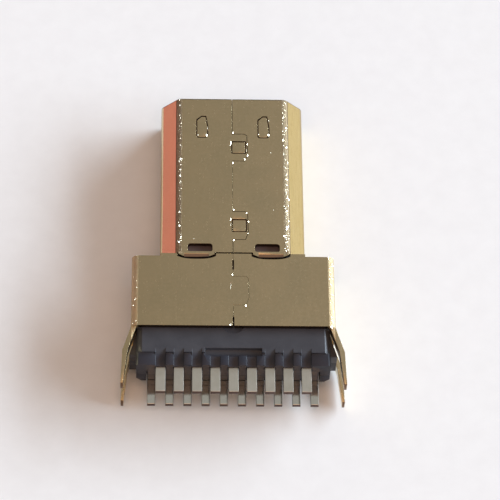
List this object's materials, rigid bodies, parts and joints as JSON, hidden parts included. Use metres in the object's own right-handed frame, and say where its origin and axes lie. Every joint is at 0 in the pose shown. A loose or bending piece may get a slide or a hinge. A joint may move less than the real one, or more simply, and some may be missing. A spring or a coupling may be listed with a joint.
{
  "type": "micro-size audio and video plug for a board edge",
  "caption": "Small folded-shell plug with a chamfered hollow head, a wider rear body, black insulator, fanned contacts and board-lock legs.",
  "frame": {"origin": "middle of the box's underside, on the shell's flat face away from the seam", "axes": "+X across the plug, +Y out of the mating mouth, +Z towards the face with the shell's seam"},
  "size_m": [0.0088, 0.0136, 0.0022],
  "materials": {
    "gold_plate": "gold-plated sheet, satin",
    "black_plastic": "moulded, fine satin",
    "tin_plate": "tin-plated copper alloy, satin"
  },
  "bodies": {
    "root": {"shell": "gold_plate", "front_housing": "black_plastic", "upper_wafer": "black_plastic", "lower_wafer": "black_plastic", "upper_contact_1": "tin_plate", "upper_contact_2": "tin_plate", "upper_contact_3": "tin_plate", "upper_contact_4": "tin_plate", "upper_contact_5": "tin_plate", "upper_contact_6": "tin_plate", "upper_contact_7": "tin_plate", "upper_contact_8": "tin_plate", "upper_contact_9": "tin_plate", "lower_contact_1": "tin_plate", "lower_contact_2": "tin_plate", "lower_contact_3": "tin_plate", "lower_contact_4": "tin_plate", "lower_contact_5": "tin_plate", "lower_contact_6": "tin_plate", "lower_contact_7": "tin_plate", "lower_contact_8": "tin_plate", "lower_contact_9": "tin_plate", "lower_contact_10": "tin_plate"}
  },
  "joints": []
}
